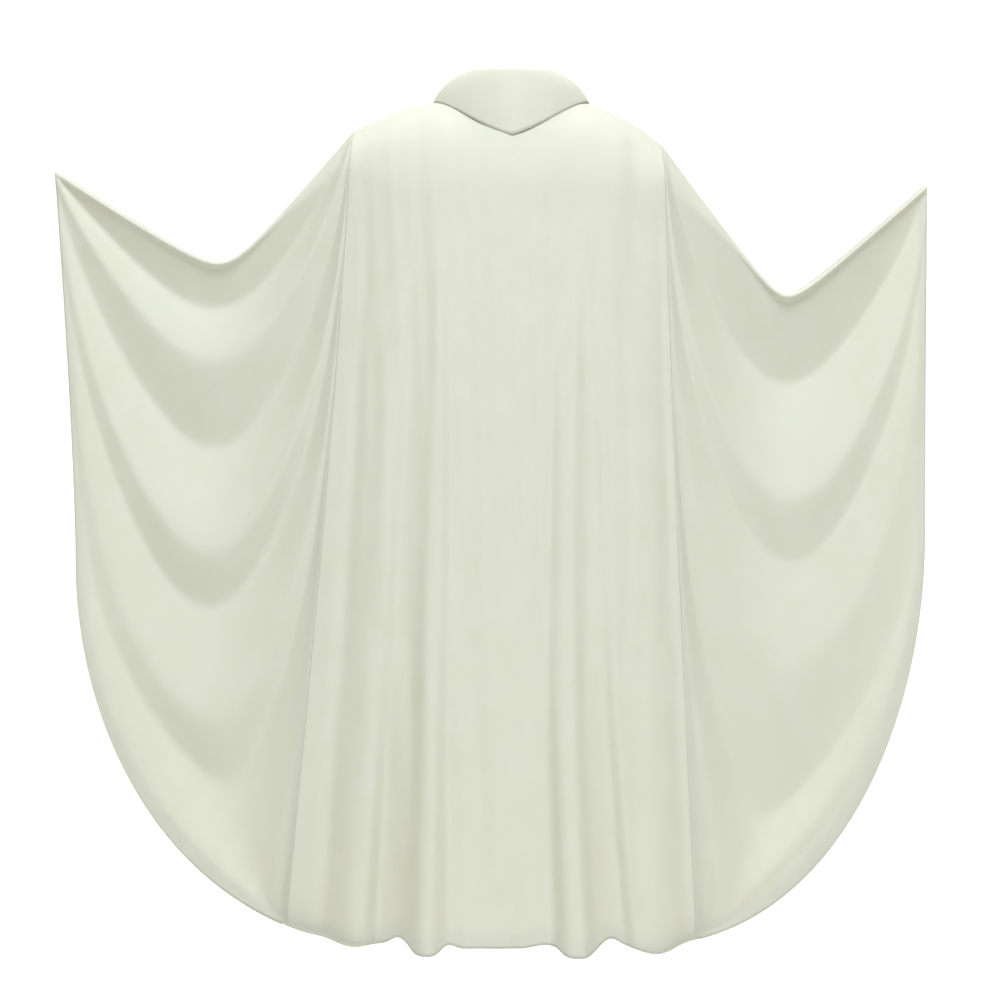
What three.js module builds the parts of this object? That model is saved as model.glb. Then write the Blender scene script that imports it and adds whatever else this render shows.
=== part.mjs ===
// Chasuble: the wide sleeveless vestment worn over the alb, hanging as it does on a form with
// its two side wings lifted by the tips. Front and back each have a centre panel and two side
// panels. They join along one top edge, from the neck over the shoulders to the wing tips, and
// are open below it. A fold-over collar with a point at the front stands on the neck seam.
//
// Frame, in millimetres: the origin is the middle of the neck opening at the height of the
// shoulder line's start, +X is to the wearer's left, -Y is the front and +Z is up.
import * as THREE from 'three';

// ---------------------------------------------------------------- driving dimensions
const CLOTH = 3;              // thickness that one layer of cloth is modelled at
const FACING = 1.4;           // thickness of a turned-in strip: hem facing or seam allowance
const GAP = 0.4;              // clearance between two layers that touch
const HEM_Z = -1270;          // height of the level part of the hem
const HEM_WIDTH = 22;         // depth of the hem facing
const SEAM_WIDTH = 12;        // width of a felled panel seam
const NECK_HALF_WIDTH = 95;   // neck seam, side to side
const NECK_SIDE_Z = 5;        // height of the neck seam at the shoulder
const SHOULDER_FALL = 1.6;    // how the shoulder line steepens towards the arm
const SIDE_LEAN = 1.4;        // how the open side leans out towards the wing tip
const SEAM_SWEEP = 1.25;      // how the panel seam swings outwards towards the hem

// Each side, measured outwards from the middle: u is the distance, z the height.
const SIDES = {
  right: {                    // the wearer's right, at -X
    direction: -1,
    tipU: 698, tipZ: -105,    // tip of the wing
    shoulderU: 242, shoulderZ: -46,
    innerSlope: 1.2,          // top edge, from the shoulder down to the dip
    outerSlope: 0.65,         // top edge, from the dip up to the tip
    dipRound: 73,             // roundness of the dip between them
    sideU: 665, sideZ: -701,  // where the straight side turns into the round hem
    levelU: 234,              // where the round hem meets the level hem
    seamHemU: 343,            // panel seam at the hem
    // folds that hang from shoulder to tip, by how far they drop in the middle of the wing:
    // [drop at the ridge, drop at the crease below it, how far the cloth falls back between]
    swags: [[172, 242, 26], [324, 460, 26], [638, 697, 22], [895, 967, 12]],
  },
  left: {                     // the wearer's left, at +X
    direction: 1,
    tipU: 636, tipZ: -126,
    shoulderU: 231, shoulderZ: -65,
    innerSlope: 1.38,
    outerSlope: 0.88,
    dipRound: 60,
    sideU: 632, sideZ: -660,
    levelU: 250,
    seamHemU: 278,
    swags: [[190, 335, 30], [521, 612, 24], [783, 984, 20]],
  },
};

// Upright folds of the centre, each [x at the shoulder, x at the hem, width to the wearer's
// right, width to the left, height at the hem, z where it starts].
const LAYERS = {
  front: {
    facing: -1,
    neckDepth: 108,           // neck seam, from the middle to the front
    bodyDepth: 102,           // how far the body holds the cloth out beyond the wings
    topRound: 150,            // roundness of the chest below the shoulder line
    flutes: [
      [-88, -122, 27, 13, 46, -150], [82, 101, 30, 13, 48, -190],
      [-130, -171, 20, 22, -24, -250], [118, 146, 18, 22, -20, -250],
      [-175, -219, 24, 22, 22, -200], [172, 207, 22, 24, 22, -200],
      [-215, -303, 22, 22, 12, -350], [205, 262, 20, 20, 10, -350],
    ],
  },
  back: {
    facing: 1,
    neckDepth: 100,
    bodyDepth: 92,
    topRound: 80,
    flutes: [
      [0, 0, 30, 30, 40, -220], [-100, -128, 26, 20, 42, -180], [104, 132, 20, 26, 40, -200],
      [-50, -66, 22, 22, -18, -260], [52, 66, 22, 22, -18, -260],
      [-172, -222, 26, 22, 24, -220], [170, 214, 22, 26, 24, -240],
    ],
  },
};
const HEM_FLARE = 0.045;      // how much further out the cloth stands for each mm it hangs
const WING_SPREAD = 50;       // depth of a wing's layer from the middle plane
const EDGE_SHARE = 0.3;       // share of that depth left at the wing's open edge
const EDGE_REACH = 80;        // distance in from the edge over which it comes back
const BODY_REACH = 235;       // distance from the middle at which the body's hold is halved
const FLARE_REACH = 330;      // the same for the flare
const WING_LIP = 14;          // roundness of the top edge on a wing
const FOLD_START = 60;        // drop below the top edge at which folds have their full depth
const EDGE_DEPTH = CLOTH + GAP / 2;       // depth of the cloth's outer face at the top edge
const OPEN_EDGE_DEPTH = CLOTH + FACING + 2 * GAP;  // least depth where a facing lies inside

// Collar: three layers that stand on the neck seam, fold over at the top and fall outside.
const COLLAR_TOP_Z = 42;
const COLLAR_TOP_HALF_WIDTH = 70;
const COLLAR_TOP_DEPTH = { front: 98, back: 92 };
const COLLAR_ROLL = 4;        // radius of the fold at the top
const COLLAR_EDGE_HALF_WIDTH = 119;
const COLLAR_EDGE_DEPTH = { front: 138, back: 130 };
const COLLAR_SIDE_Z = 5;      // lower edge of the fall at the shoulder
const COLLAR_POINT_Z = -60;   // lower edge of the fall at its point
const COLLAR_BACK_Z = -4;     // lower edge of the fall at the back
const COLLAR_CLOTH = 1.6;
const INTERLINING = 1;
const NECK_CLEARANCE = 1.5;   // between the neck seam and the collar's stand
const BINDING = 1.2;

// ---------------------------------------------------------------- outline
const mix = (a, b, share) => a + (b - a) * share;
const clamp = (value, low, high) => Math.min(Math.max(value, low), high);

// The larger of two lines, with a round corner where they cross.
function roundedMaximum(a, b, round) {
  return (a + b + Math.hypot(a - b, round)) / 2;
}

function wingTopZ(side, u) {
  const inner = side.shoulderZ - side.innerSlope * (u - side.shoulderU);
  const outer = side.tipZ - side.outerSlope * (side.tipU - u);
  return roundedMaximum(inner, outer, side.dipRound);
}

function shoulderZ(side, u) {
  const share = (u - NECK_HALF_WIDTH) / (side.shoulderU - NECK_HALF_WIDTH);
  return mix(NECK_SIDE_Z, wingTopZ(side, side.shoulderU), share ** SHOULDER_FALL);
}

// Height of the shoulder and wing line at distance u, level across the neck.
function crownZ(side, u) {
  if (u < NECK_HALF_WIDTH) {
    return NECK_SIDE_Z;
  }
  return u < side.shoulderU ? shoulderZ(side, u) : wingTopZ(side, u);
}

// Depth of the neck seam, an ellipse seen from above.
function neckDepth(layer, u) {
  return layer.neckDepth * Math.sqrt(Math.max(1 - (u / NECK_HALF_WIDTH) ** 2, 0));
}

// Height of the cloth's top edge: where the neck seam cuts the rounded body, else the crown.
function topZ(side, layer, u) {
  const reach = neckDepth(layer, u) / (WING_SPREAD + layer.bodyDepth);
  return crownZ(side, u) - layer.topRound * (1 - Math.sqrt(1 - reach * reach));
}

function seamU(side, z) {
  const top = wingTopZ(side, side.shoulderU);
  const share = clamp((top - z) / (top - HEM_Z), 0, 1);
  return mix(side.shoulderU, side.seamHemU, share ** SEAM_SWEEP);
}

// Distance of the open edge from the middle at height z: a leaning side, then an ellipse.
function edgeU(side, z) {
  if (z > side.sideZ) {
    const share = clamp((z - side.sideZ) / (side.tipZ - side.sideZ), 0, 1);
    return mix(side.sideU, side.tipU, share ** SIDE_LEAN);
  }
  const drop = clamp((side.sideZ - z) / (side.sideZ - HEM_Z), 0, 1);
  return mix(side.levelU, side.sideU, Math.sqrt(1 - drop * drop));
}

function hemZ(side, u) {
  const share = clamp((u - side.levelU) / (side.sideU - side.levelU), 0, 1);
  return mix(side.sideZ, HEM_Z, Math.sqrt(1 - share * share));
}

// ---------------------------------------------------------------- depth of the cloth
// A quarter round that rises from 0 to 1 over the given length.
function quarterRound(drop, length) {
  const left = 1 - clamp(drop / length, 0, 1);
  return Math.sqrt(1 - left * left);
}

function hold(u, reach) {
  return 1 / (1 + (u / reach) ** 6);
}

const FLUTE_TOP_WIDTH = 0.7;  // width of a flute where it starts, as a share of that at the hem
const FLUTE_GROWTH = 1.3;     // how late a flute deepens

// The upright folds: round ridges and hollows that fan out and deepen towards the hem.
function fluteDepth(layer, x, z) {
  let depth = 0;
  for (const [topX, hemX, widthRight, widthLeft, height, startZ] of layer.flutes) {
    const share = clamp((startZ - z) / (startZ - HEM_Z), 0, 1);
    const middle = mix(topX, hemX, clamp(z / HEM_Z, 0, 1));
    const width = (x < middle ? widthRight : widthLeft) * mix(FLUTE_TOP_WIDTH, 1, share);
    depth += height * share ** FLUTE_GROWTH * Math.exp(-(((x - middle) / width) ** 2));
  }
  return depth;
}

// A fold line hangs from shoulder to tip as middle drop times bow ** power. The first one is
// shallow at its ends; those below it are steeper there, because their power is less by BELLY
// for each time that the drop grows by a factor of e.
const FIRST_POWER = 0.98;
const BELLY = 0.4;
const BOW_ROUND = 0.6;        // roundness of the fold lines at their lowest point
const LOW_POINT = 0.55;       // that point's share of the way from the open edge to the seam
const COME_BACK = 0.85;       // share of a fold's fall that the cloth comes forward again

// The sag of a hanging line: 1 at its low point, nearly 0 at the open edge and the seam.
function bowAt(across) {
  const place = 2 * across ** (Math.log(0.5) / Math.log(LOW_POINT)) - 1;
  const end = Math.hypot(1, BOW_ROUND);
  return Math.max((end - Math.hypot(place, BOW_ROUND)) / (end - BOW_ROUND), 0.01);
}

// The drop that the fold line through a point has in the middle of the wing.
function middleDrop(side, u, z, bow) {
  const lineShare = clamp((side.tipU - u) / (side.tipU - side.shoulderU), 0, 1);
  const drop = Math.max(mix(side.tipZ, side.shoulderZ, lineShare) - z, 1);
  const first = side.swags[0][0];
  const power = (Math.log(drop / first) - FIRST_POWER * Math.log(bow)) / (1 - BELLY * Math.log(bow));
  return first * Math.exp(power);
}

// The hanging folds: the cloth falls back below each ridge and comes forward below each crease.
function swagDepth(side, u, z) {
  const edge = edgeU(side, z);
  const across = clamp((edge - u) / Math.max(edge - seamU(side, z), 1), 0, 1);
  const bow = bowAt(across);
  const middle = middleDrop(side, u, z, bow);
  let depth = 0;
  side.swags.forEach(([ridge, crease, fall], k) => {
    depth -= fall * clamp((middle - ridge) / (crease - ridge), 0, 1);
    const next = side.swags[k + 1];
    if (next) {
      depth += COME_BACK * fall * clamp((middle - crease) / (next[0] - crease), 0, 1);
    }
  });
  return depth * Math.sqrt(bow);
}

// Distance of the cloth's outer face from the middle plane.
function outerDepth(side, layer, u, z) {
  const drop = Math.max(crownZ(side, u) - z, 0);
  const held = hold(u, BODY_REACH);
  const inFromEdge = Math.max(edgeU(side, z) - u, 0);
  const spread = WING_SPREAD * mix(1, EDGE_SHARE, Math.exp(-inFromEdge / EDGE_REACH));
  const full = spread + layer.bodyDepth * held;
  const round = mix(WING_LIP, layer.topRound, held);
  const base = full * quarterRound(drop, round) + HEM_FLARE * drop * hold(u, FLARE_REACH);
  const folds = fluteDepth(layer, side.direction * u, z) + swagDepth(side, u, z) * (1 - held);
  const depth = base + folds * clamp(drop / FOLD_START, 0, 1);
  return Math.max(depth, mix(EDGE_DEPTH, OPEN_EDGE_DEPTH, clamp(drop / HEM_WIDTH, 0, 1)));
}

// ---------------------------------------------------------------- panels on a grid
// A panel's grid of points fills its four edges: the blend of top with bottom, plus the blend
// of first side with second side, minus the blend of the four corners.
function blendedPatch(top, bottom, first, second) {
  return (a, t) => [0, 1].map((k) => {
    const across = mix(top(a)[k], bottom(a)[k], t);
    const down = mix(first(t)[k], second(t)[k], a);
    const corners = mix(mix(top(0)[k], top(1)[k], a), mix(bottom(0)[k], bottom(1)[k], a), t);
    return across + down - corners;
  });
}

const STRAIGHT = 0.45;  // share of the open edge before the round hem begins
const TURN = 0.62;      // share of the open edge that bounds the panel's side; the rest is hem

// A point of the open edge, from the wing tip (0) round to the panel seam at the hem (1).
function openEdge(side, share) {
  if (share < STRAIGHT) {
    const z = mix(side.tipZ, side.sideZ, share / STRAIGHT);
    return [edgeU(side, z), z];
  }
  const reach = (side.seamHemU + GAP / 2 - side.levelU) / (side.sideU - side.levelU);
  const angle = Math.acos(reach) * (share - STRAIGHT) / (1 - STRAIGHT);
  const u = mix(side.levelU, side.sideU, Math.cos(angle));
  return [u, mix(side.sideZ, HEM_Z, Math.sin(angle))];
}

// Side panel: a runs from the open edge (0) to the panel seam (1), t from top edge to hem.
function wingPatch(side) {
  const cornerZ = hemZ(side, side.seamHemU);
  return blendedPatch(
    (a) => {
      const u = mix(side.tipU, side.shoulderU + GAP / 2, a);
      return [u, wingTopZ(side, u)];
    },
    (a) => openEdge(side, mix(TURN, 1, a)),
    (t) => (t === 0 ? [side.tipU, wingTopZ(side, side.tipU)] : openEdge(side, TURN * t)),
    (t) => {
      const z = mix(wingTopZ(side, side.shoulderU), cornerZ, t);
      return [seamU(side, z) + GAP / 2, z];
    },
  );
}

// Even steps from 0 to 1, with a step of its own at each end.
function steps(first, last, count) {
  const inner = Array.from({ length: count + 1 }, (_, k) => mix(first, 1 - last, k / count));
  return [0, ...inner, 1];
}

// Rows of every panel from top edge to hem, so that neighbours meet point to point.
const TOP_ROW = 0.012;  // share of a panel's height in the narrow row that turns over its top
const ROW_COUNT = 15;
const ROWS = steps(TOP_ROW, HEM_WIDTH / -HEM_Z, ROW_COUNT);

function grid(columns, rows, point) {
  return rows.map((t) => columns.map((a) => point(a, t)));
}

// A closed sheet over the chosen cells of a grid. Each grid point gives [x, z, depth, facing];
// the sheet lies between two depths below it, and walls close it wherever a cell ends.
function sheet(points, inside, thickness, chosen = () => true) {
  const rows = points.length - 1;
  const columns = points[0].length - 1;
  const wanted = (r, c) => r >= 0 && c >= 0 && r < rows && c < columns && chosen(r, c, rows, columns);
  const positions = [];
  const indices = [];
  const known = new Map();
  const vertex = (r, c, k) => {
    const key = `${r} ${c} ${k}`;
    if (!known.has(key)) {
      const [x, z, depth, facing] = points[r][c];
      known.set(key, positions.length / 3);
      positions.push(x, facing * (depth - inside - k * thickness), z);
    }
    return known.get(key);
  };
  const wall = (r0, c0, r1, c1) => {
    const [p, q, s, w] = [vertex(r0, c0, 0), vertex(r1, c1, 0), vertex(r1, c1, 1), vertex(r0, c0, 1)];
    indices.push(p, s, q, p, w, s);
  };
  for (let r = 0; r < rows; r += 1) {
    for (let c = 0; c < columns; c += 1) {
      if (wanted(r, c)) {
        const cell = [[r, c], [r, c + 1], [r + 1, c + 1], [r + 1, c]];
        const [a, b, d, e] = cell.map(([row, column]) => vertex(row, column, 0));
        indices.push(a, b, d, a, d, e);
        const [f, g, h, i] = cell.map(([row, column]) => vertex(row, column, 1));
        indices.push(f, h, g, f, i, h);
        if (!wanted(r - 1, c)) wall(r, c, r, c + 1);
        if (!wanted(r + 1, c)) wall(r + 1, c + 1, r + 1, c);
        if (!wanted(r, c - 1)) wall(r + 1, c, r, c);
        if (!wanted(r, c + 1)) wall(r, c + 1, r + 1, c + 1);
      }
    }
  }
  return facingOut(positions, indices);
}

// Turns all faces round if the body they close comes out with a negative volume.
function facingOut(positions, indices) {
  let volume = 0;
  const corner = (k) => new THREE.Vector3().fromArray(positions, 3 * indices[k]);
  for (let k = 0; k < indices.length; k += 3) {
    volume += corner(k).dot(corner(k + 1).cross(corner(k + 2)));
  }
  const geometry = new THREE.BufferGeometry();
  geometry.setAttribute('position', new THREE.Float32BufferAttribute(positions, 3));
  geometry.setIndex(volume > 0 ? indices : indices.slice().reverse());
  return geometry;
}

// ---------------------------------------------------------------- materials and meshes
const chasuble = new THREE.Group();

function addPiece(name, geometry, colour) {
  const material = new THREE.MeshStandardMaterial({ color: colour, roughness: 0.85, metalness: 0 });
  const mesh = new THREE.Mesh(geometry, material);
  mesh.name = name;
  chasuble.add(mesh);
}

const FACE_CLOTH = 0xdcdfcc;
const TURNED_CLOTH = 0xd8dac2;
const STIFFENER = 0xf1f1ec;

// ---------------------------------------------------------------- side panels and their edges
const WING_COLUMNS = 11;

for (const [layerName, layer] of Object.entries(LAYERS)) {
  for (const [sideName, side] of Object.entries(SIDES)) {
    const patch = wingPatch(side);
    const width = side.tipU - side.shoulderU;
    const columns = steps(HEM_WIDTH / width, SEAM_WIDTH / width, WING_COLUMNS);
    const points = grid(columns, ROWS, (a, t) => {
      const [u, z] = patch(a, t);
      const depth = t === 0 ? EDGE_DEPTH : outerDepth(side, layer, u, z);
      return [side.direction * u, z, depth, layer.facing];
    });
    const inside = CLOTH + GAP;
    addPiece(`${layerName}_${sideName}_panel`, sheet(points, 0, CLOTH), FACE_CLOTH);
    addPiece(`${layerName}_${sideName}_hem_facing`,
      sheet(points, inside, FACING, (r, c, rMax) => r === rMax - 1 || (c === 0 && r > 1)), TURNED_CLOTH);
    addPiece(`${layerName}_${sideName}_panel_seam`,
      sheet(points, inside, FACING, (r, c, rMax, cMax) => c === cMax - 1 && r > 1 && r < rMax - 1),
      TURNED_CLOTH);
  }
}

// ---------------------------------------------------------------- centre panels and their hems
const NECK_COLUMNS = 12;
const SHOULDER_COLUMNS = 5;

// Columns of the centre panel, by x at the top: seam strip, shoulder, neck, shoulder, seam strip.
function centreColumns() {
  const xs = [-SIDES.right.shoulderU];
  for (let k = 0; k < SHOULDER_COLUMNS; k += 1) {
    xs.push(mix(SEAM_WIDTH - SIDES.right.shoulderU, -NECK_HALF_WIDTH, k / SHOULDER_COLUMNS));
  }
  for (let k = 0; k <= NECK_COLUMNS; k += 1) {
    xs.push(NECK_HALF_WIDTH * Math.sin(Math.PI * (k / NECK_COLUMNS - 0.5)));
  }
  for (let k = SHOULDER_COLUMNS - 1; k >= 0; k -= 1) {
    xs.push(mix(SIDES.left.shoulderU - SEAM_WIDTH, NECK_HALF_WIDTH, k / SHOULDER_COLUMNS));
  }
  xs.push(SIDES.left.shoulderU);
  return xs.map((x) => (x + SIDES.right.shoulderU) / (SIDES.left.shoulderU + SIDES.right.shoulderU));
}

const sideOf = (x) => (x < 0 ? SIDES.right : SIDES.left);

for (const [layerName, layer] of Object.entries(LAYERS)) {
  const seamPoint = (side, t) => {
    const z = mix(wingTopZ(side, side.shoulderU), hemZ(side, side.seamHemU), t);
    return [side.direction * (seamU(side, z) - GAP / 2), z];
  };
  const patch = blendedPatch(
    (a) => {
      const x = mix(GAP / 2 - SIDES.right.shoulderU, SIDES.left.shoulderU - GAP / 2, a);
      return [x, topZ(sideOf(x), layer, Math.abs(x))];
    },
    (a) => {
      const x = mix(GAP / 2 - SIDES.right.seamHemU, SIDES.left.seamHemU - GAP / 2, a);
      return [x, hemZ(sideOf(x), Math.abs(x))];
    },
    (t) => seamPoint(SIDES.right, t),
    (t) => seamPoint(SIDES.left, t),
  );
  const points = grid(centreColumns(), ROWS, (a, t) => {
    const [x, z] = patch(a, t);
    const side = sideOf(x);
    const u = Math.abs(x);
    const depth = t === 0 ? Math.max(neckDepth(layer, u), EDGE_DEPTH) : outerDepth(side, layer, u, z);
    return [x, z, depth, layer.facing];
  });
  addPiece(`${layerName}_centre_panel`, sheet(points, 0, CLOTH), FACE_CLOTH);
  addPiece(`${layerName}_centre_hem_facing`,
    sheet(points, CLOTH + GAP, FACING, (r, c, rMax) => r === rMax - 1), TURNED_CLOTH);
}

// ---------------------------------------------------------------- seams along the top edge
// The allowances of front and back lie together just under the edge that they join.
const TOP_SEAM_DROP = 2.2;
const TOP_SEAM_WIDTH = 12;
const TIP_CLEAR = 45;         // the wing's seam stops this far short of its tip

function topSeam(side, us) {
  const points = [TOP_SEAM_DROP, TOP_SEAM_DROP + TOP_SEAM_WIDTH].map((drop) => us.map((u) => (
    [side.direction * u, topZ(side, LAYERS.front, u) - drop, FACING / 2, LAYERS.front.facing])));
  return sheet(points, 0, FACING);
}

for (const [sideName, side] of Object.entries(SIDES)) {
  const width = side.tipU - side.shoulderU;
  const wing = steps(HEM_WIDTH / width, SEAM_WIDTH / width, WING_COLUMNS)
    .map((a) => mix(side.tipU, side.shoulderU + GAP / 2, a))
    .filter((u) => side.tipU - u > TIP_CLEAR);
  addPiece(`${sideName}_wing_seam`, topSeam(side, wing), TURNED_CLOTH);
  const first = NECK_HALF_WIDTH + 2 * GAP;
  const last = side.shoulderU - GAP / 2;
  const shoulder = [0, 1, 2, 3, 4, 5].map((k) => mix(last - SEAM_WIDTH, first, k / 5));
  addPiece(`${sideName}_shoulder_seam`, topSeam(side, [last, ...shoulder]), TURNED_CLOTH);
}

// ---------------------------------------------------------------- collar
const SPANS = 24;             // steps round the neck

// A closed band round the neck. Each station is a line round it; point gives the place of a
// station at an angle from the front, on the band's outer (0) or inner (1) face.
function band(stationCount, point) {
  const positions = [];
  const indices = [];
  const vertex = (j, i, k) => ((j % SPANS) * stationCount + i) * 2 + k;
  for (let j = 0; j < SPANS; j += 1) {
    for (let i = 0; i < stationCount; i += 1) {
      for (const k of [0, 1]) {
        positions.push(...point((2 * Math.PI * j) / SPANS, i, k));
      }
    }
  }
  const quad = (a, b, c, d) => indices.push(a, b, c, a, c, d);
  for (let j = 0; j < SPANS; j += 1) {
    for (let i = 0; i < stationCount - 1; i += 1) {
      quad(vertex(j, i, 0), vertex(j, i + 1, 0), vertex(j + 1, i + 1, 0), vertex(j + 1, i, 0));
      quad(vertex(j, i, 1), vertex(j + 1, i, 1), vertex(j + 1, i + 1, 1), vertex(j, i + 1, 1));
    }
    const end = stationCount - 1;
    quad(vertex(j, 0, 0), vertex(j + 1, 0, 0), vertex(j + 1, 0, 1), vertex(j, 0, 1));
    quad(vertex(j, end, 0), vertex(j, end, 1), vertex(j + 1, end, 1), vertex(j + 1, end, 0));
  }
  return facingOut(positions, indices);
}

// Height of the fall's lower edge: straight down to the point in front, level at the back.
function fallEdgeZ(angle) {
  const across = Math.abs(Math.sin(angle));
  const low = Math.cos(angle) > 0 ? COLLAR_POINT_Z : COLLAR_BACK_Z;
  return mix(low, COLLAR_SIDE_Z, across);
}

function neckZ(angle) {
  const layer = Math.cos(angle) > 0 ? LAYERS.front : LAYERS.back;
  return topZ(SIDES.left, layer, NECK_HALF_WIDTH * Math.abs(Math.sin(angle)));
}

function depthAt(angle, depths) {
  return Math.cos(angle) > 0 ? depths.front : depths.back;
}

const CORE = INTERLINING / 2;
const COLLAR_HALF = CORE + GAP + COLLAR_CLOTH;  // half of all three layers together
const STAND_GAP = NECK_CLEARANCE + COLLAR_HALF; // from the neck seam in to the collar's middle
const standDepths = {
  front: LAYERS.front.neckDepth - CLOTH - STAND_GAP,
  back: LAYERS.back.neckDepth - CLOTH - STAND_GAP,
};

// Stations along the collar's section, from the fall's edge over the roll to the neck seam:
// each has the turn of its face (0 outwards, half a turn inwards) and its place on its stretch.
const COLLAR_STATIONS = [
  { turn: 0, fall: 0 }, { turn: 0, fall: 0.35 }, { turn: 0, fall: 0.7 }, { turn: 0, fall: 1 },
  { turn: 0.25 }, { turn: 0.5 }, { turn: 0.75 },
  { turn: 1, stand: 0 }, { turn: 1, stand: 0.5 }, { turn: 1, stand: 1 },
];

function collarPoint(angle, station, offset) {
  const topDepth = depthAt(angle, COLLAR_TOP_DEPTH);
  const rollZ = COLLAR_TOP_Z - COLLAR_ROLL;
  const turn = station.turn * Math.PI;
  let halfWidth = COLLAR_TOP_HALF_WIDTH + COLLAR_ROLL * Math.cos(turn);
  let depth = topDepth + COLLAR_ROLL * Math.cos(turn);
  let z = rollZ + COLLAR_ROLL * Math.sin(turn);
  if (station.fall !== undefined) {
    const out = 1 - station.fall ** 1.25;
    halfWidth = mix(halfWidth, COLLAR_EDGE_HALF_WIDTH, out);
    depth = mix(depth, depthAt(angle, COLLAR_EDGE_DEPTH), out);
    z = mix(fallEdgeZ(angle), rollZ, station.fall);
  }
  if (station.stand !== undefined) {
    halfWidth = mix(halfWidth, NECK_HALF_WIDTH - STAND_GAP, station.stand);
    depth = mix(depth, depthAt(angle, standDepths), station.stand);
    z = mix(rollZ, neckZ(angle) - CLOTH, station.stand);
  }
  const out = offset * Math.cos(turn);
  return [
    (halfWidth + out) * Math.sin(angle),
    -(depth + out) * Math.cos(angle),
    z + offset * Math.sin(turn),
  ];
}

function collarLayer(outer, inner) {
  return band(COLLAR_STATIONS.length, (angle, i, k) => (
    collarPoint(angle, COLLAR_STATIONS[i], k === 0 ? outer : inner)));
}

addPiece('upper_collar', collarLayer(CORE + GAP + COLLAR_CLOTH, CORE + GAP), FACE_CLOTH);
addPiece('collar_interlining', collarLayer(CORE, -CORE), STIFFENER);
addPiece('under_collar', collarLayer(-CORE - GAP, -CORE - GAP - COLLAR_CLOTH), TURNED_CLOTH);

// The binding is a bias strip stitched over the neck seam, on the inside of the stand.
addPiece('neck_binding', band(2, (angle, i, k) => {
  const offset = COLLAR_HALF + 2 * GAP + (1 - k) * BINDING;
  return collarPoint(angle, COLLAR_STATIONS[COLLAR_STATIONS.length - 2 + i], offset);
}), TURNED_CLOTH);

export default chasuble;
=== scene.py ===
"""Chasuble in ivory crepe, hanging from neck and shoulders with its side wings lifted by the tips.

The cloth is worked out as surfaces: the outline of each panel is filled with a grid, and every point of
the grid gets its distance from the middle plane from the body's shape, the upright folds of the centre
and the hanging folds of the wings. Sizes are in millimetres until a mesh is made.
"""
import math

import bpy
import numpy as np
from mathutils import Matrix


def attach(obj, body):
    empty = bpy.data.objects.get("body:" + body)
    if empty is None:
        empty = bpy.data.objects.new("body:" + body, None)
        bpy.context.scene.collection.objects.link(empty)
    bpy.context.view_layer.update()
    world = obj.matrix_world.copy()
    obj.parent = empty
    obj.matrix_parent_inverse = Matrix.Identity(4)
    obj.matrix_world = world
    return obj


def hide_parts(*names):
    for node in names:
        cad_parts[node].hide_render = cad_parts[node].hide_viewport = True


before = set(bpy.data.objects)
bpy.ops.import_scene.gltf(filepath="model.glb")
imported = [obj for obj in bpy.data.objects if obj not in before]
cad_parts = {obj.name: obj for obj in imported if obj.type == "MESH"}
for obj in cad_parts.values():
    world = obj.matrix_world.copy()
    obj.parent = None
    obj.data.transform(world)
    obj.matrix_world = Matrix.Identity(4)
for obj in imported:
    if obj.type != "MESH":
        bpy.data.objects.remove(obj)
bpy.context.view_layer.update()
MM = 0.001

# ---------------------------------------------------------------- camera
# Level with the middle of the garment and far off, so that the front hardly looks larger than the wings.
camera_data = bpy.data.cameras.new("camera")
camera_data.sensor_width = 36.0
camera_data.lens = 116.9
camera_data.clip_end = 50
camera = bpy.data.objects.new("camera", camera_data)
camera.location = (-0.017, -5.0, -0.608)
camera.rotation_euler = (math.radians(90), 0, 0)
bpy.context.scene.collection.objects.link(camera)
bpy.context.scene.camera = camera
bpy.context.scene.view_settings.view_transform = "Standard"

# ---------------------------------------------------------------- front centre panel: its cloth
# Smooth, light polyester crepe, ivory, about 0.5 mm thick with its twist: matt, with a faint sheen at a
# low angle, and thin enough for some of the light behind it to come through. Threads are 0.3 mm apart.


def linear(hex_colour):
    """The linear values of an sRGB hex colour, by the sRGB curve."""
    values = [int(hex_colour[k:k + 2], 16) / 255 for k in (1, 3, 5)]
    return [v / 12.92 if v <= 0.04045 else ((v + 0.055) / 1.055) ** 2.4 for v in values] + [1.0]


def add_node(tree, kind, settings=None, links=None):
    """A node of that kind, with settings for its properties or inputs and links to its inputs."""
    node = tree.nodes.new(kind)
    for name, value in (settings or {}).items():
        if isinstance(name, int) or name in node.inputs:
            node.inputs[name].default_value = value
        else:
            setattr(node, name, value)
    for name, source in (links or {}).items():
        tree.links.new(source, node.inputs[name])
    return node


THREAD = 0.3 * MM
DRAWN_THREAD = 2 * THREAD   # drawn at twice its real size, because one thread is finer than a render shows
SLUB = 7 * MM               # length over which the yarn's thickness varies
WAVE_PERIOD = 0.314         # a wave texture of scale 1 repeats after this length


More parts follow.
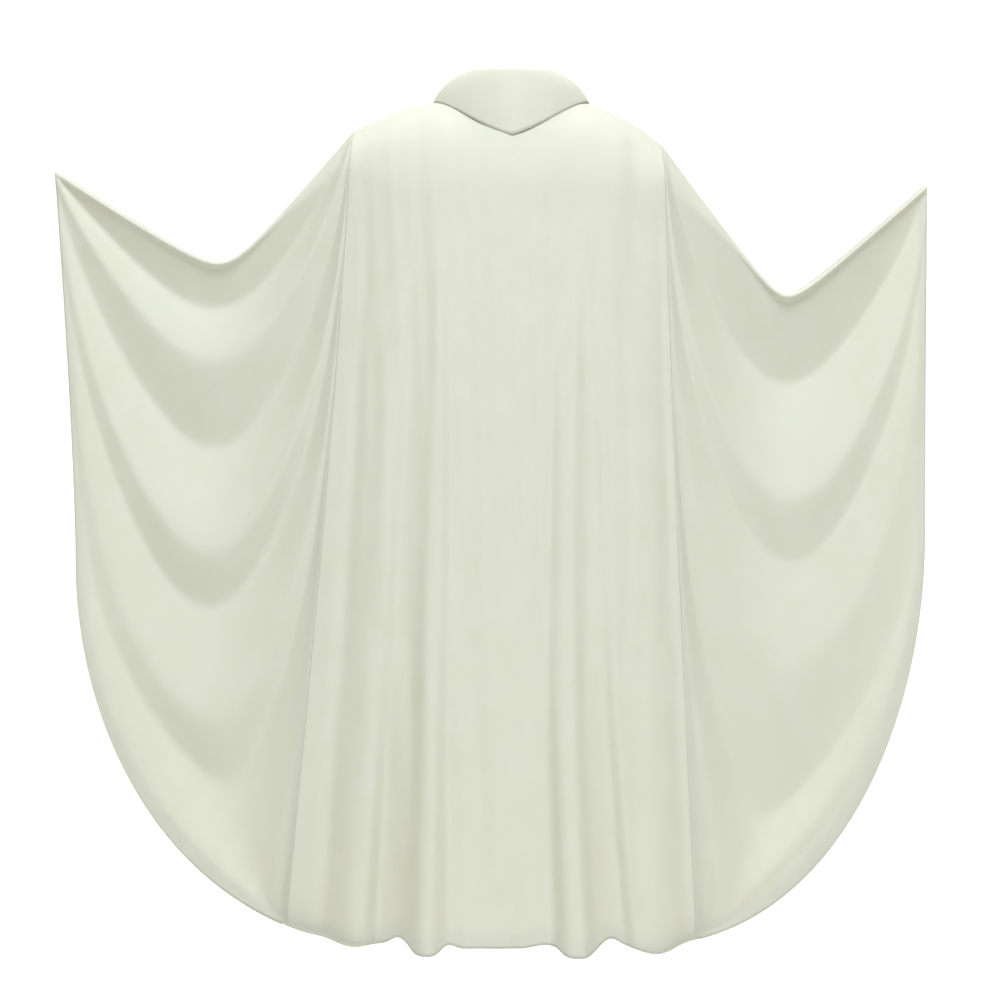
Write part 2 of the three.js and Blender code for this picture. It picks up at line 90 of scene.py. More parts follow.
def woven_cloth(name, light, dark, glow, glow_share):
    """Crepe: two crossed waves for warp and weft raise the surface, soft noise makes the yarn uneven in
    tone, and a share of the light passes through from behind."""
    material = bpy.data.materials.new(name)
    material.use_nodes = True
    tree = material.node_tree
    tree.nodes.clear()
    place = add_node(tree, "ShaderNodeUVMap", {"uv_map": "cloth"}).outputs["UV"]
    slub = add_node(tree, "ShaderNodeTexNoise", {"Scale": 1 / SLUB, "Detail": 3.0, "Roughness": 0.6},
                    {"Vector": place})
    cloudy = add_node(tree, "ShaderNodeTexNoise", {"Scale": 1 / (60 * MM), "Detail": 2.0}, {"Vector": place})
    uneven = add_node(tree, "ShaderNodeMath", {"operation": "MULTIPLY_ADD", 1: 0.35},
                      {0: slub.outputs["Fac"], 2: cloudy.outputs["Fac"]})
    share = add_node(tree, "ShaderNodeMapRange", {"From Min": 0.45, "From Max": 0.9},
                     {"Value": uneven.outputs[0]})
    colour = add_node(tree, "ShaderNodeMix", {"data_type": "RGBA", 6: linear(light), 7: linear(dark)},
                      {0: share.outputs[0]})
    warp = add_node(tree, "ShaderNodeTexWave",
                    {"wave_type": "BANDS", "bands_direction": "X", "Scale": WAVE_PERIOD / DRAWN_THREAD,
                     "Distortion": 0.6, "Detail": 1.0}, {"Vector": place})
    weft = add_node(tree, "ShaderNodeTexWave",
                    {"wave_type": "BANDS", "bands_direction": "Y", "Scale": WAVE_PERIOD / DRAWN_THREAD,
                     "Distortion": 0.6, "Detail": 1.0}, {"Vector": place})
    weave = add_node(tree, "ShaderNodeMath", {"operation": "MULTIPLY"},
                     {0: warp.outputs["Fac"], 1: weft.outputs["Fac"]})
    height = add_node(tree, "ShaderNodeMath", {"operation": "MULTIPLY_ADD", 1: 0.5},
                      {0: weave.outputs[0], 2: slub.outputs["Fac"]})
    bump = add_node(tree, "ShaderNodeBump", {"Strength": 0.12, "Distance": THREAD},
                    {"Height": height.outputs[0]})
    rough = add_node(tree, "ShaderNodeMapRange", {"To Min": 0.72, "To Max": 0.86},
                     {"Value": slub.outputs["Fac"]})
    front = add_node(tree, "ShaderNodeBsdfPrincipled",
                     {"IOR": 1.5, "Specular IOR Level": 0.3, "Sheen Weight": 0.12, "Sheen Roughness": 0.5},
                     {"Base Color": colour.outputs[2], "Roughness": rough.outputs[0],
                      "Normal": bump.outputs["Normal"]})
    through = add_node(tree, "ShaderNodeBsdfTranslucent", {"Color": linear(glow)})
    both = add_node(tree, "ShaderNodeMixShader", {0: glow_share},
                    {1: front.outputs[0], 2: through.outputs[0]})
    add_node(tree, "ShaderNodeOutputMaterial", None, {"Surface": both.outputs[0]})
    return material


ivory_crepe = woven_cloth("ivory_crepe", "#EEF0E9", "#EBEDE4", "#EFEBC0", 0.27)
turned_crepe = woven_cloth("ivory_crepe_turned", "#EDEEE2", "#E9EBDC", "#EDE8B8", 0.22)

# ---------------------------------------------------------------- front centre panel: outline
# The garment is cut the same on both sides, but the wearer's right wing is held a little higher and
# further out. u is the distance from the middle and z the height; the neck is the origin.
HEM_Z = -1270
NECK_HALF_WIDTH = 95
NECK_SIDE_Z = 5


class Measures:
    """The measures of one side, or of the front or back."""

    def __init__(self, **measures):
        self.__dict__.update(measures)


# Hanging folds of a wing: drop in the middle at the ridge and at the crease below it, how far the cloth
# falls back between them, and how round the crease is.
RIGHT = Measures(
    direction=-1, tip=(698, -105), shoulder=(242, -46), inner_slope=1.2, outer_slope=0.65, dip_round=73,
    side=(665, -701), level_u=234, seam_hem_u=343,
    swags=[(140, 242, 43, 5), (322, 455, 48, 7), (612, 697, 36, 7), (870, 967, 34, 14), (1180, 1300, 8, 14)])
LEFT = Measures(
    direction=1, tip=(636, -126), shoulder=(231, -65), inner_slope=1.38, outer_slope=0.88, dip_round=60,
    side=(632, -660), level_u=250, seam_hem_u=278,
    swags=[(150, 335, 66, 6), (515, 608, 30, 7), (775, 1000, 38, 14), (1130, 1200, 8, 14)])


def mix(a, b, share):
    return a + (b - a) * share


def wing_top(side, u):
    """The larger of two sloping lines, from the shoulder and from the tip, rounded where they cross."""
    inner = side.shoulder[1] - side.inner_slope * (u - side.shoulder[0])
    outer = side.tip[1] - side.outer_slope * (side.tip[0] - u)
    return (inner + outer + np.hypot(inner - outer, side.dip_round)) / 2


def crown(side, u):
    """Height of the shoulder and wing line: level over the neck, then falling ever faster to the arm."""
    share = np.clip((u - NECK_HALF_WIDTH) / (side.shoulder[0] - NECK_HALF_WIDTH), 0, 1)
    shoulder = mix(NECK_SIDE_Z, wing_top(side, side.shoulder[0]), share ** 1.6)
    return np.where(u < side.shoulder[0], shoulder, wing_top(side, u))


def seam_u(side, z):
    """The panel seam: from the shoulder point it swings outwards towards the hem."""
    top = wing_top(side, side.shoulder[0])
    return mix(side.shoulder[0], side.seam_hem_u, np.clip((top - z) / (top - HEM_Z), 0, 1) ** 1.25)


def edge_u(side, z):
    """The open edge: a side that leans out to the tip, then a quarter of an ellipse."""
    lean = np.clip((z - side.side[1]) / (side.tip[1] - side.side[1]), 0, 1)
    drop = np.clip((side.side[1] - z) / (side.side[1] - HEM_Z), 0, 1)
    straight = mix(side.side[0], side.tip[0], lean ** 1.4)
    curved = mix(side.level_u, side.side[0], np.sqrt(1 - drop * drop))
    return np.where(z > side.side[1], straight, curved)


def hem_z(side, u):
    """The same ellipse as a height."""
    share = np.clip((u - side.level_u) / (side.side[0] - side.level_u), 0, 1)
    return mix(side.side[1], HEM_Z, np.sqrt(1 - share * share))


# ---------------------------------------------------------------- front centre panel: hang of the cloth
# Upright folds: x at the chest, half way down and at the hem; width on the -x and +x side; height half
# way down and at the hem; share of the way down at which the fold starts; squareness. Hollows have a minus.
# The lower edge also sags: x, width, drop and squareness.
FRONT = Measures(
    facing=-1, neck_depth=108, body_depth=102, top_round=150,
    flutes=[
        (-103, -118, -130, 22, 26, 10, 32, 0.00, 2.6), (-92, -94, -97, 10, 14, -3, -3, 0.10, 2),
        (-140, -168, -200, 16, 46, -9, -30, 0.00, 2), (-170, -202, -240, 26, 26, 6, 13, 0.10, 2),
        (-212, -246, -286, 18, 18, -6, -12, 0.00, 2), (80, 56, 64, 16, 10, -4, -7, 0.05, 2),
        (104, 86, 100, 28, 20, 10, 32, 0.05, 2.8), (124, 130, 166, 34, 14, -7, -26, 0.05, 2),
        (196, 206, 226, 30, 26, 5, 12, 0.10, 2), (220, 238, 264, 14, 12, -3, -5, 0.00, 2),
    ],
    sags=[(-235, 40, 3, 2), (-168, 16, -12, 2), (-128, 24, 6, 5), (-92, 12, -5, 2), (48, 22, -5, 2),
          (99, 29, 8, 5), (148, 16, -11, 2), (218, 36, 12, 2)])
BACK = Measures(
    facing=1, neck_depth=100, body_depth=92, top_round=80,
    flutes=[
        (0, 0, -4, 30, 26, 12, 34, 0.05, 2.4), (-100, -118, -132, 28, 20, 13, 36, 0.05, 2.4),
        (104, 120, 136, 20, 30, 13, 34, 0.10, 2.4), (-50, -62, -72, 20, 20, -8, -16, 0.10, 2),
        (52, 60, 70, 20, 20, -8, -18, 0.10, 2), (-172, -196, -226, 24, 20, 10, 24, 0.15, 2),
        (170, 194, 216, 20, 24, 10, 22, 0.15, 2), (-140, -160, -178, 14, 14, -8, -18, 0.2, 2),
        (142, 160, 176, 14, 14, -8, -18, 0.2, 2),
    ],
    sags=[(-66, 40, 9, 2), (68, 42, 8, 2), (-230, 40, 8, 2), (220, 40, 9, 2)])
CHEST_Z = -150
LOW_POINT = 0.56            # how far in from the open edge a hanging fold is lowest, as a share
BOW_ROUND = 0.6             # roundness of a hanging fold's lowest part
COME_BACK = 0.85            # share of its fall that the cloth comes forward again below a crease
BODY_REACH = 235            # distance from the middle at which the body's hold on the cloth is halved
SPREAD_REACH = 245          # the same for the change from the body's depth to the wing's
BODY_SPREAD = 50            # depth over the body, less what the body adds
WING_SPREAD = (70, 72)      # depth of a wing near its top edge and 450 mm below
EDGE_SHARE = 0.5            # share of that depth left at the open edge
EDGE_REACH = 70             # distance in from the edge over which it comes back
FLARE = 0.045               # how much further out the cloth stands for each mm it hangs
FLARE_REACH = 380           # distance from the middle at which the flare is halved
WING_LIP = 6                # roundness of a wing's top edge
FOLD_START = (15, 60)       # drop below the top edge at which folds are full: on a wing, over the body
SEAM_RIDGE, SEAM_GROOVE, SEAM_RIPPLE = 1.2, 0.25, 0.4  # how far each stands out or in at a panel seam


def neck_depth(layer, u):
    """Depth of the neck seam, an ellipse seen from above."""
    return layer.neck_depth * np.sqrt(np.clip(1 - (u / NECK_HALF_WIDTH) ** 2, 0, 1))


def top_z(side, layer, u):
    """Top edge of the cloth: where the neck seam cuts the rounded body, else the crown line."""
    reach = neck_depth(layer, u) / (BODY_SPREAD + layer.body_depth)
    return crown(side, u) - layer.top_round * (1 - np.sqrt(1 - reach * reach))


def flute_depth(layer, x, z):
    """Upright folds: bell curves across, each along a gently bent line, that grow towards the hem."""
    way = np.clip((CHEST_Z - z) / (CHEST_Z - HEM_Z), 0, 1)
    depth = np.zeros_like(x)
    for top, middle, hem, minus_width, plus_width, half_height, hem_height, start, square in layer.flutes:
        centre = (1 - way) * (1 - 2 * way) * top + 4 * way * (1 - way) * middle + way * (2 * way - 1) * hem
        width = np.where(x < centre, minus_width, plus_width) * mix(0.45, 1, way)
        grown = np.clip((way - start) / (1 - start), 0, 1)
        height = half_height * np.sin(np.minimum(grown, 0.5) * np.pi) \
            + (hem_height - half_height) * np.clip(2 * grown - 1, 0, 1) ** 1.3
        depth = depth + height * np.exp(-np.abs((x - centre) / width) ** mix(2, square, way))
    return depth


def rounded_ramp(value, start, end, round_start, round_end):
    """0 before start, 1 after end and straight between, with the two corners rounded off."""
    rise = (value - start + np.hypot(value - start, round_start)) / 2
    stop = (value - end + np.hypot(value - end, round_end)) / 2
    return (rise - stop) / (end - start)


def swag_depth(side, u, z):
    """Hanging folds. The fold line through a point hangs from shoulder to tip as middle drop times
    bow ** power, with less power lower down; the cloth falls back below each ridge and comes forward
    again below each crease. Towards the open edge the lower folds fade."""
    edge = edge_u(side, z)
    across = np.clip((edge - u) / np.maximum(edge - seam_u(side, z), 1), 0, 1)
    place = 2 * across ** (math.log(0.5) / math.log(LOW_POINT)) - 1
    end = math.hypot(1, BOW_ROUND)
    bow = np.maximum((end - np.hypot(place, BOW_ROUND)) / (end - BOW_ROUND), 0.01)
    line_share = np.clip((side.tip[0] - u) / (side.tip[0] - side.shoulder[0]), 0, 1)
    drop = np.maximum(mix(side.tip[1], side.shoulder[1], line_share) - z, 1)
    first = side.swags[0][0]
    power = (np.log(drop / first) - 0.98 * np.log(bow)) / (1 - 0.4 * np.log(bow))
    middle = first * np.exp(power)
    depth = np.zeros_like(u)
    for k, (ridge, crease, fall, sharp) in enumerate(side.swags):
        depth = depth - fall * rounded_ramp(middle, ridge, crease, 2 * sharp, sharp)
        if k + 1 < len(side.swags):
            depth = depth + COME_BACK * fall * rounded_ramp(
                middle, crease, side.swags[k + 1][0], sharp, 2 * side.swags[k + 1][3])
    faded = np.clip(middle / 400 - 0.6, 0, 1) * np.exp(-(edge - u) / 60)
    return depth * np.sqrt(bow) * (1 - 0.8 * faded)


def seam_pucker(side, u, z):
    """The sewn seam pulls in: a narrow groove on a low ridge, with short ripples across it."""
    away = u - seam_u(side, z)
    shown = np.clip((wing_top(side, side.shoulder[0]) - z) / 40, 0, 1)
    ripple = np.sin(z * 2 * np.pi / 23 + 1.7 * np.sin(z / 61.0)) * (0.6 + 0.4 * np.sin(z / 37.0))
    near = np.exp(-np.abs(away) / 11)
    ridge = SEAM_RIDGE * np.exp(-(away / 20) ** 2) - SEAM_GROOVE * np.exp(-(away / 2.6) ** 2)
    return shown * (ridge + SEAM_RIPPLE * ripple * near)


def fine_folds(layer, x, z):
    """Slight upright waves of a few widths, each drifting sideways and coming and going with height."""
    total = np.zeros_like(x)
    for k, (length, height) in enumerate(((46, 1.3), (29, 0.7), (83, 1.8))):
        drift = 14 * np.sin(z / (170 + 60 * k) + 2.1 * k + layer.facing)
        swell = 0.55 + 0.45 * np.sin(z / (230 - 50 * k) + x / (190 + 30 * k) + 4.2 * k)
        total = total + height * swell * np.sin(2 * np.pi * (x + drift) / length + 1.3 * k)
    return total


def cloth_depth(side, layer, u, z):
    """Distance of the cloth from the middle plane: rounded body and wing, flare, then all the folds."""
    drop = np.maximum(crown(side, u) - z, 0)
    held = 1 / (1 + (u / BODY_REACH) ** 6)
    body = 1 / (1 + (u / SPREAD_REACH) ** 4.5)
    in_from_edge = np.maximum(edge_u(side, z) - u, 0)
    low = np.clip(drop / 450, 0, 1)
    wing = mix(*WING_SPREAD, low * low * (3 - 2 * low))
    wing = wing * mix(1, EDGE_SHARE, np.exp(-in_from_edge / EDGE_REACH))
    left = 1 - np.clip(drop / mix(WING_LIP, layer.top_round, held), 0, 1)
    base = mix(wing, BODY_SPREAD + layer.body_depth, body) * np.sqrt(1 - left * left)
    base = base + FLARE * drop / (1 + (u / FLARE_REACH) ** 4)
    folds = flute_depth(layer, side.direction * u, z) + swag_depth(side, u, z) * (1 - held)
    folds = folds + seam_pucker(side, u, z) + fine_folds(layer, side.direction * u, z) * held
    begun = np.clip(drop / mix(*FOLD_START, held), 0, 1)
    return np.maximum(base + folds * begun, 0.4 + 8 * np.clip(drop / 22, 0, 1))


def hang(layer, x, z):
    """Places points of the outline in space. A fold's lower end also hangs lower, because it lies nearer
    to the lower edge's own length of cloth."""
    u = np.abs(x)
    depth = np.where(x < 0, cloth_depth(RIGHT, layer, u, z), cloth_depth(LEFT, layer, u, z))
    dip = 0.1 * np.clip(flute_depth(layer, x, z), 0, 80)
    for centre, width, sag, square in layer.sags:
        dip = dip + sag * np.exp(-np.abs((x - centre) / width) ** square)
    return np.stack([x, layer.facing * depth, z - dip * np.clip((-1000 - z) / 270, 0, 1)], -1)


# ---------------------------------------------------------------- front centre panel: the mesh
# One length of cloth from the neck and shoulders to the hem, between the two panel seams. It hangs free
# below the neck and shoulders.
CLOTH = 0.5


def blended_patch(top, bottom, first, second, columns, rows):
    """Fills four edges: top mixed with bottom, plus first side mixed with second side, less the mix of
    the four corners. Each edge gives (across, height) for shares from 0 to 1."""
    a, t = np.meshgrid(columns, rows)
    filled = []
    for k in (0, 1):
        down = mix(top(a)[k], bottom(a)[k], t)
        over = mix(first(t)[k], second(t)[k], a)
        corners = [edge(np.array([end]))[k][0] for edge in (top, bottom) for end in (0.0, 1.0)]
        filled.append(down + over - mix(mix(corners[0], corners[1], a), mix(corners[2], corners[3], a), t))
    return filled


def inwards(points, facing, distance):
    """Moves a grid of points along its own normals, towards the inside of the garment."""
    normal = np.cross(np.gradient(points, axis=1), np.gradient(points, axis=0))
    normal /= np.maximum(np.linalg.norm(normal, axis=-1, keepdims=True), 1e-9)
    outward = np.sign(np.median(normal[..., 1])) * facing
    return points - outward * distance * normal


def cloth_mesh(name, points, facing, material, thickness=CLOTH):
    """A sheet from a grid of points, with the length of its threads as UV map, made solid inwards."""
    rows, columns, _ = points.shape
    corner = np.arange(rows * columns).reshape(rows, columns)
    quads = np.stack([corner[:-1, :-1], corner[:-1, 1:], corner[1:, 1:], corner[1:, :-1]], -1).reshape(-1, 4)
    points = points * MM
    a, b, d = points[:-1, :-1], points[:-1, 1:], points[1:, :-1]
    if np.median(np.cross(b - a, d - a)[..., 1]) * facing < 0:
        quads = quads[:, ::-1]
    mesh = bpy.data.meshes.new(name)
    mesh.from_pydata(points.reshape(-1, 3), [], quads.tolist())
    along = np.cumsum(np.linalg.norm(np.diff(points, axis=1, prepend=points[:, :1]), axis=-1), axis=1)
    down = np.cumsum(np.linalg.norm(np.diff(points, axis=0, prepend=points[:1]), axis=-1), axis=0)
    along = along - along[:, columns // 2:columns // 2 + 1]
    uv = np.stack([along, -down], -1).reshape(-1, 2)
    mesh.uv_layers.new(name="cloth").data.foreach_set("uv", uv[quads.ravel()].ravel())
    mesh.polygons.foreach_set("use_smooth", np.ones(len(quads), bool))
    mesh.materials.append(material)
    mesh.validate()
    piece = bpy.data.objects.new(name, mesh)
    bpy.context.scene.collection.objects.link(piece)
    solid = piece.modifiers.new("thickness", "SOLIDIFY")
    solid.thickness = thickness * MM
    solid.offset = -1
    return piece


def sew_in(piece, node):
    """What every piece of cloth is told: it rides on the one body and stands for its node."""
    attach(piece, "root")
    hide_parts(node)


def centre_outline(layer, columns, rows):
    """x and z of a centre panel's grid."""

    def top(a):
        x = mix(-RIGHT.shoulder[0], LEFT.shoulder[0], a)
        return x, np.where(x < 0, top_z(RIGHT, layer, np.abs(x)), top_z(LEFT, layer, np.abs(x)))

    def bottom(a):
        x = mix(-RIGHT.seam_hem_u, LEFT.seam_hem_u, a)
        return x, np.where(x < 0, hem_z(RIGHT, np.abs(x)), hem_z(LEFT, np.abs(x)))

    def seam(side):
        def edge(t):
            z = mix(wing_top(side, side.shoulder[0]), hem_z(side, side.seam_hem_u), t)
            return side.direction * seam_u(side, z), z
        return edge

    return blended_patch(top, bottom, seam(RIGHT), seam(LEFT), columns, rows)


def centre_panel(layer, name):
    rows = np.concatenate([[0], np.linspace(0.002, 1, 219)])
    x, z = centre_outline(layer, np.linspace(0, 1, 221), rows)
    points = hang(layer, x, z)
    points[0, :, 1] = layer.facing * np.maximum(neck_depth(layer, np.abs(x[0])), 0.4)
    return cloth_mesh(name, points, layer.facing, ivory_crepe)


sew_in(centre_panel(FRONT, "front_centre_cloth"), "front_centre_panel")

# ---------------------------------------------------------------- back centre panel
# The same length of cloth at the back, with a shallower neck and a fold down its middle.
sew_in(centre_panel(BACK, "back_centre_cloth"), "back_centre_panel")

# ---------------------------------------------------------------- side panels
# Four wings, each sewn to a centre panel from the shoulder point to the hem. Front and back wings are
# joined along their top edges only, and hang in deep folds between the shoulder and the lifted tip.
STRAIGHT = 0.45
TURN = 0.62


def open_edge(side, share):
    """A point of the open edge, from the wing tip (0) round to the panel seam at the hem (1)."""
    z_straight = mix(side.tip[1], side.side[1], np.clip(share / STRAIGHT, 0, 1))
    end = math.acos((side.seam_hem_u - side.level_u) / (side.side[0] - side.level_u))
    angle = end * np.clip((share - STRAIGHT) / (1 - STRAIGHT), 0, 1)
    u = np.where(share < STRAIGHT, edge_u(side, z_straight), mix(side.level_u, side.side[0], np.cos(angle)))
    z = np.where(share < STRAIGHT, z_straight, mix(side.side[1], HEM_Z, np.sin(angle)))
    return u, z


def side_panel(layer, side, name):
    columns = np.concatenate([np.linspace(0, 0.93, 125), np.linspace(0.935, 1, 20)])
    rows = np.concatenate([np.linspace(0, 0.03, 12), np.linspace(0.035, 1, 215)])

    def top(a):
        u = mix(side.tip[0], side.shoulder[0], a)
        return u, wing_top(side, u)

    def bottom(a):
        return open_edge(side, mix(TURN, 1, a))

    def first(t):
        u, z = open_edge(side, TURN * t)
        return u, np.where(t == 0, wing_top(side, side.tip[0]), z)

    def second(t):
        z = mix(wing_top(side, side.shoulder[0]), hem_z(side, side.seam_hem_u), t)
        return seam_u(side, z), z

    u, z = blended_patch(top, bottom, first, second, columns, rows)
    return cloth_mesh(name, hang(layer, side.direction * u, z), layer.facing, ivory_crepe)


for layer, layer_name in ((FRONT, "front"), (BACK, "back")):
    for side, side_name in ((RIGHT, "right"), (LEFT, "left")):
        wing = side_panel(layer, side, f"{layer_name}_{side_name}_cloth")
        sew_in(wing, f"{layer_name}_{side_name}_panel")

# ---------------------------------------------------------------- panel seams
# The allowances of each panel seam, pressed together towards the wing: a strip on the inside, 12 mm wide
# as seen from the front and 17 mm along the cloth, which slopes there.
ALLOWANCE = 12
HEM_WIDTH = 22
LAYER_GAP = 0.15


def inner_strip(layer, name, x, z, node):
    """A strip of turned cloth just inside the panels, on a grid of outline points."""
    points = inwards(hang(layer, x, z), layer.facing, CLOTH + LAYER_GAP)
    piece = cloth_mesh(name, points, layer.facing, turned_crepe)
    sew_in(piece, node)
    return piece


for layer, layer_name in ((FRONT, "front"), (BACK, "back")):
    for side, side_name in ((RIGHT, "right"), (LEFT, "left")):
        hem = hem_z(side, side.seam_hem_u) + HEM_WIDTH
        z = np.linspace(wing_top(side, side.shoulder[0]) - 20, hem, 260)[:, None]
        x = side.direction * (seam_u(side, z) + np.linspace(0, ALLOWANCE, 7)[None, :])
        node = f"{layer_name}_{side_name}_panel_seam"
        inner_strip(layer, node + "_cloth", x, z + 0 * x, node)

# ---------------------------------------------------------------- shoulder and wing seams
# Along the top edge the allowances of front and back lie together, 12 mm deep, just under the edge.


def top_seam(side, name, u_first, u_last, count):
    u = np.linspace(u_first, u_last, count)[None, :]
    drop = np.linspace(1.2, 1.2 + ALLOWANCE, 6)[:, None]
    x = side.direction * (u + 0 * drop)
    points = np.stack([x, 0 * x - 0.35, top_z(side, FRONT, u) - drop], -1)
    piece = cloth_mesh(name + "_cloth", points, -1, turned_crepe, 0.7)
    sew_in(piece, name)


for side, side_name in ((RIGHT, "right"), (LEFT, "left")):
    top_seam(side, f"{side_name}_shoulder_seam", NECK_HALF_WIDTH + 1, side.shoulder[0] - 1, 60)
    top_seam(side, f"{side_name}_wing_seam", side.shoulder[0] + 1, side.tip[0] - 45, 160)

# ---------------------------------------------------------------- hem facings
# All raw edges are turned in and stitched: 22 mm along the lower edge, narrowing to 13 mm up the sides.
SIDE_HEM_WIDTH = 13

for layer, layer_name in ((FRONT, "front"), (BACK, "back")):
    columns = np.linspace(0, 1, 360)
    x, z = centre_outline(layer, columns, np.linspace(1 - HEM_WIDTH / 1220, 1, 9))
    node = f"{layer_name}_centre_hem_facing"
    inner_strip(layer, node + "_cloth", x, z, node)
    for side, side_name in ((RIGHT, "right"), (LEFT, "left")):
        share = np.linspace(0.012, 0.995, 420)
        u_edge, z_edge = open_edge(side, share)
        along = np.stack([np.gradient(u_edge), np.gradient(z_edge)], -1)
        along /= np.linalg.norm(along, axis=-1, keepdims=True)
        width = mix(SIDE_HEM_WIDTH, HEM_WIDTH, np.clip((share - 0.4) / 0.4, 0, 1))
        inner = np.linspace(0, 1, 8)[:, None] * width[None, :]
        u = u_edge[None, :] + inner * along[None, :, 1]
        z = z_edge[None, :] - inner * along[None, :, 0]
        node = f"{layer_name}_{side_name}_hem_facing"
        inner_strip(layer, node + "_cloth", side.direction * u, z, node)

# ---------------------------------------------------------------- collar
# A stiffened fold-over collar: it stands on the neck seam, rolls over at the top and falls outside, with
# a point in front. Three layers: the upper collar outside, a woven interlining and the under collar.
STEPS_ROUND = 240
ROLL = 4
CORE = 0.35                 # half the interlining's thickness
COLLAR_TOP_Z = 42.0
COLLAR_TOP_HALF_WIDTH = 70
COLLAR_EDGE_HALF_WIDTH = 119
COLLAR_SIDE_Z, COLLAR_POINT_Z, COLLAR_BACK_Z = 2, -60, -30  # lower edge of the fall
COLLAR_TOP_DEPTH = (98, 92)  # how far the roll stands out in front and at the back
ROLL_START = 0.7            # the turn at which the fall runs into the roll


def fall_edge_z(angle, rounding=0.0):
    """Lower edge of the fall: level at the shoulders, then down to the point in front and to a
    shallower one at the back. With rounding, the point is blunt."""
    across = np.abs(np.sin(angle))
    blunt = (np.hypot(across, rounding) - rounding) / (np.hypot(1, rounding) - rounding)
    towards_point = (1 - (blunt if rounding else across ** 1.25)) * (1 - 0.5 * across ** 3)
    low = np.where(np.cos(angle) > 0, COLLAR_POINT_Z, COLLAR_BACK_Z)
    return mix(COLLAR_SIDE_Z, low, towards_point)


def lying_depth(angle):
    """Depth at which the edge of the fall lies on the cloth of the chest or back."""
    u = COLLAR_EDGE_HALF_WIDTH * np.abs(np.sin(angle))
    z = fall_edge_z(angle, 0.15)
    front = cloth_depth(LEFT, FRONT, u, z)
    back = cloth_depth(LEFT, BACK, u, z)
    return np.where(np.cos(angle) > 0, front, back) + 1.5


def collar_grid(offset):
    """The collar's section swept round the neck, at a distance outside its middle layer. The section runs
    from the fall's edge up in a slight bulge, round the roll and down the stand to the neck seam."""
    angle = np.linspace(0, 2 * np.pi, STEPS_ROUND + 1)[:, None]
    share = np.linspace(0, 1, 22)
    roll = np.linspace(ROLL_START, np.pi, 14)[1:-1]
    turn = np.concatenate([0 * share + ROLL_START, roll, np.full(12, np.pi)])[None, :]
    share = np.concatenate([share, np.ones(24)])[None, :]
    up = mix(share, np.sin(share * np.pi / 2), 0.5)
    out = mix(1 - share, np.cos(share * np.pi / 2), 0.5)
    stand = np.concatenate([np.zeros(34), np.linspace(0, 1, 12)])[None, :]
    facing_front = np.cos(angle) > 0
    across, ahead = np.abs(np.sin(angle)), np.abs(np.cos(angle))
    width = mix(COLLAR_TOP_HALF_WIDTH + ROLL * np.cos(turn), COLLAR_EDGE_HALF_WIDTH, out) * across
    roll_depth = (np.where(facing_front, *COLLAR_TOP_DEPTH) + ROLL * np.cos(turn)) * ahead
    edge_depth = np.maximum(lying_depth(angle) * np.minimum(ahead * 4, 1), roll_depth)
    depth = mix(roll_depth, edge_depth, out)
    roll_z = mix(COLLAR_TOP_Z, COLLAR_TOP_Z + 5, across ** 2)
    z = mix(fall_edge_z(angle), roll_z - ROLL + ROLL * np.sin(turn), up)
    around = NECK_HALF_WIDTH * across
    seam_z = np.where(facing_front, top_z(LEFT, FRONT, around), top_z(LEFT, BACK, around)) - 2
    seam_depth = np.where(facing_front, FRONT.neck_depth - 3, BACK.neck_depth - 3) * ahead
    width = mix(width, (NECK_HALF_WIDTH - 3) * across, stand)
    depth = mix(depth, seam_depth, stand)
    z = mix(z, seam_z, stand)
    shift = offset * np.cos(turn)
    x = (width + shift * across) * np.sign(np.sin(angle))
    y = -(depth + shift * ahead) * np.sign(np.cos(angle))
    return np.stack([x, y, z + offset * np.sin(turn)], -1)


def ring_mesh(name, points, material, thickness):
    """A closed band from a grid whose last row meets its first, made solid inwards."""
    rows, columns, _ = points.shape
    corner = np.arange((rows - 1) * columns).reshape(rows - 1, columns)
    following = np.roll(corner, -1, axis=0)
    quads = np.stack([corner[:, :-1], corner[:, 1:], following[:, 1:], following[:, :-1]], -1).reshape(-1, 4)
    points = points * MM
    along = np.cumsum(np.linalg.norm(np.diff(points, axis=0, prepend=points[:1]), axis=-1), axis=0)
    down = np.cumsum(np.linalg.norm(np.diff(points, axis=1, prepend=points[:, :1]), axis=-1), axis=1)
    spread = np.stack([along, down], -1)
    quad_uv = np.stack([spread[:-1, :-1], spread[:-1, 1:], spread[1:, 1:], spread[1:, :-1]], 2).reshape(-1, 2)
    mesh = bpy.data.meshes.new(name)
    mesh.from_pydata(points[:-1].reshape(-1, 3), [], quads.tolist())
    mesh.uv_layers.new(name="cloth").data.foreach_set("uv", quad_uv.ravel())
    mesh.polygons.foreach_set("use_smooth", np.ones(len(quads), bool))
    mesh.materials.append(material)
    mesh.validate()
    piece = bpy.data.objects.new(name, mesh)
    bpy.context.scene.collection.objects.link(piece)
    solid = piece.modifiers.new("thickness", "SOLIDIFY")
    solid.thickness = thickness * MM
    solid.offset = -1
    return piece


white_interlining = woven_cloth("white_interlining", "#F1F1EC", "#ECECE6", "#F1F1E8", 0.1)
upper = ring_mesh("upper_collar_cloth", collar_grid(CORE + LAYER_GAP + CLOTH), ivory_crepe, CLOTH)
sew_in(upper, "upper_collar")
stiffener = ring_mesh("interlining_cloth", collar_grid(CORE), white_interlining, 2 * CORE)
sew_in(stiffener, "collar_interlining")
under = ring_mesh("under_collar_cloth", collar_grid(-CORE - LAYER_GAP), turned_crepe, CLOTH)
sew_in(under, "under_collar")

# ---------------------------------------------------------------- neck binding
# A bias strip stitched over the neck seam, on the inside of the collar's stand.
stand = collar_grid(CORE + LAYER_GAP + CLOTH + 0.9)[:, -7:]
binding = ring_mesh("neck_binding_cloth", stand, turned_crepe, CLOTH)
sew_in(binding, "neck_binding")

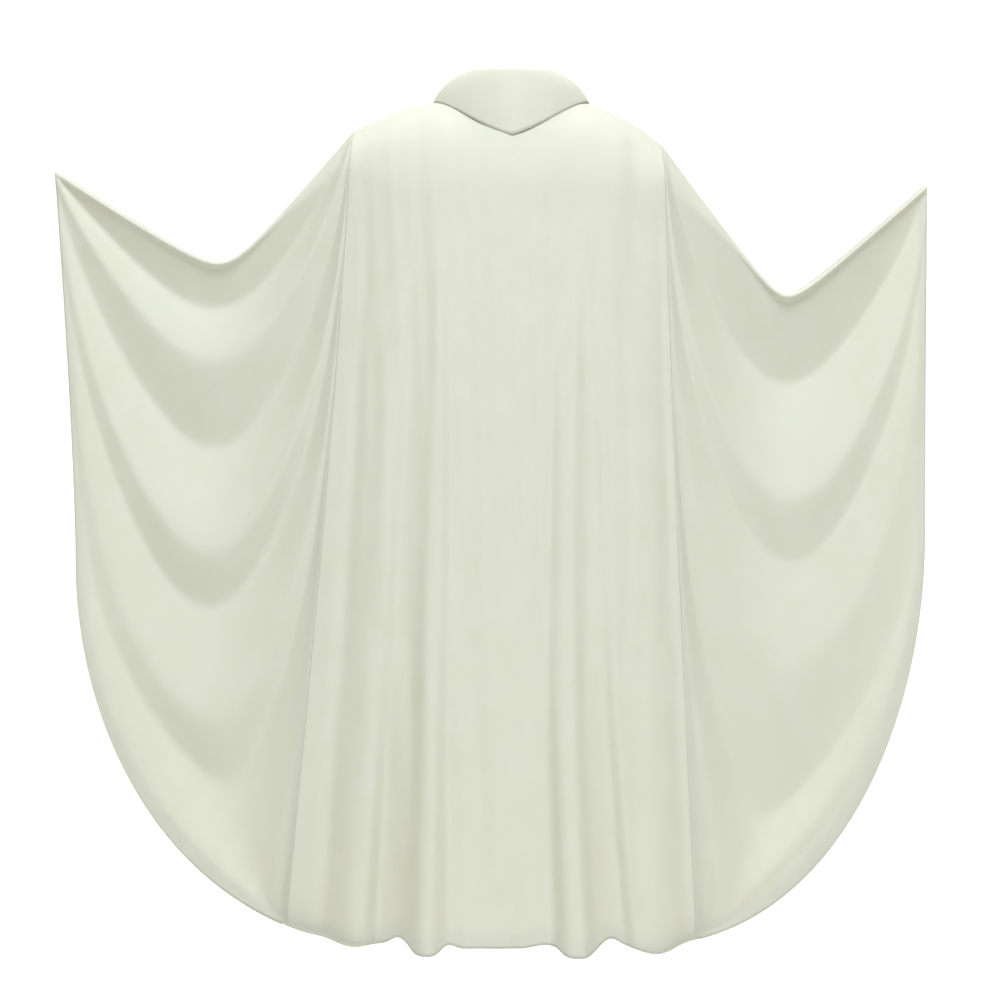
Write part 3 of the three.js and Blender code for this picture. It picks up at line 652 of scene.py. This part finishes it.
# ---------------------------------------------------------------- floor, backdrop and light
# A pale sweep: floor, a wide curve and a wall in one surface, so that no line shows behind the cloth.


def sweep():
    """The floor runs back, turns up through a quarter circle and goes on as a wall."""
    floor_z, back, radius, top = -1700, 5300, 1500, 4500
    turn = np.linspace(0, np.pi / 2, 24)
    y = np.concatenate([[-7000], back + radius * np.sin(turn), [back + radius]])
    z = np.concatenate([[floor_z], floor_z + radius * (1 - np.cos(turn)), [top]])
    x = np.array([-7000.0, 7000.0])
    points = np.stack(np.broadcast_arrays(x[None, :], y[:, None], z[:, None]), -1).reshape(-1, 3) * MM
    corner = np.arange(len(y) * 2).reshape(len(y), 2)
    quads = np.stack([corner[:-1, 0], corner[:-1, 1], corner[1:, 1], corner[1:, 0]], -1)
    mesh = bpy.data.meshes.new("sweep")
    mesh.from_pydata(points, [], quads.tolist())
    mesh.polygons.foreach_set("use_smooth", np.ones(len(quads), bool))
    return bpy.data.objects.new("sweep", mesh)


pale_paper = bpy.data.materials.new("pale_backdrop_paper")
pale_paper.use_nodes = True
paper_shader = pale_paper.node_tree.nodes["Principled BSDF"]
paper_shader.inputs["Base Color"].default_value = linear("#F1F1F1")
paper_shader.inputs["Roughness"].default_value = 0.9
floor = sweep()
floor.data.materials.append(pale_paper)
bpy.context.scene.collection.objects.link(floor)

world = bpy.data.worlds.new("studio")
world.use_nodes = True
world.node_tree.nodes["Background"].inputs["Color"].default_value = (1, 0.975, 0.78, 1)
world.node_tree.nodes["Background"].inputs["Strength"].default_value = 0.38
bpy.context.scene.world = world


def soft_box(name, place, aim, size, power, colour=(1, 1, 1)):
    """A large square lamp that points from place at aim."""
    data = bpy.data.lights.new(name, "AREA")
    data.shape = "SQUARE"
    data.size = size
    data.energy = power
    data.color = colour
    lamp = bpy.data.objects.new(name, data)
    lamp.location = place
    away = np.array(place) - np.array(aim)
    flat = math.hypot(away[0], away[1])
    lamp.rotation_euler = (math.atan2(flat, away[2]), 0, math.atan2(away[0], -away[1]))
    bpy.context.scene.collection.objects.link(lamp)


soft_box("front_box", (0.3, -4.4, 5.2), (0, 0, -0.6), 2.6, 435, (0.91, 0.945, 1))
soft_box("backdrop_box", (0.0, 2.4, 4.2), (0, 6.2, -0.9), 4.0, 260)
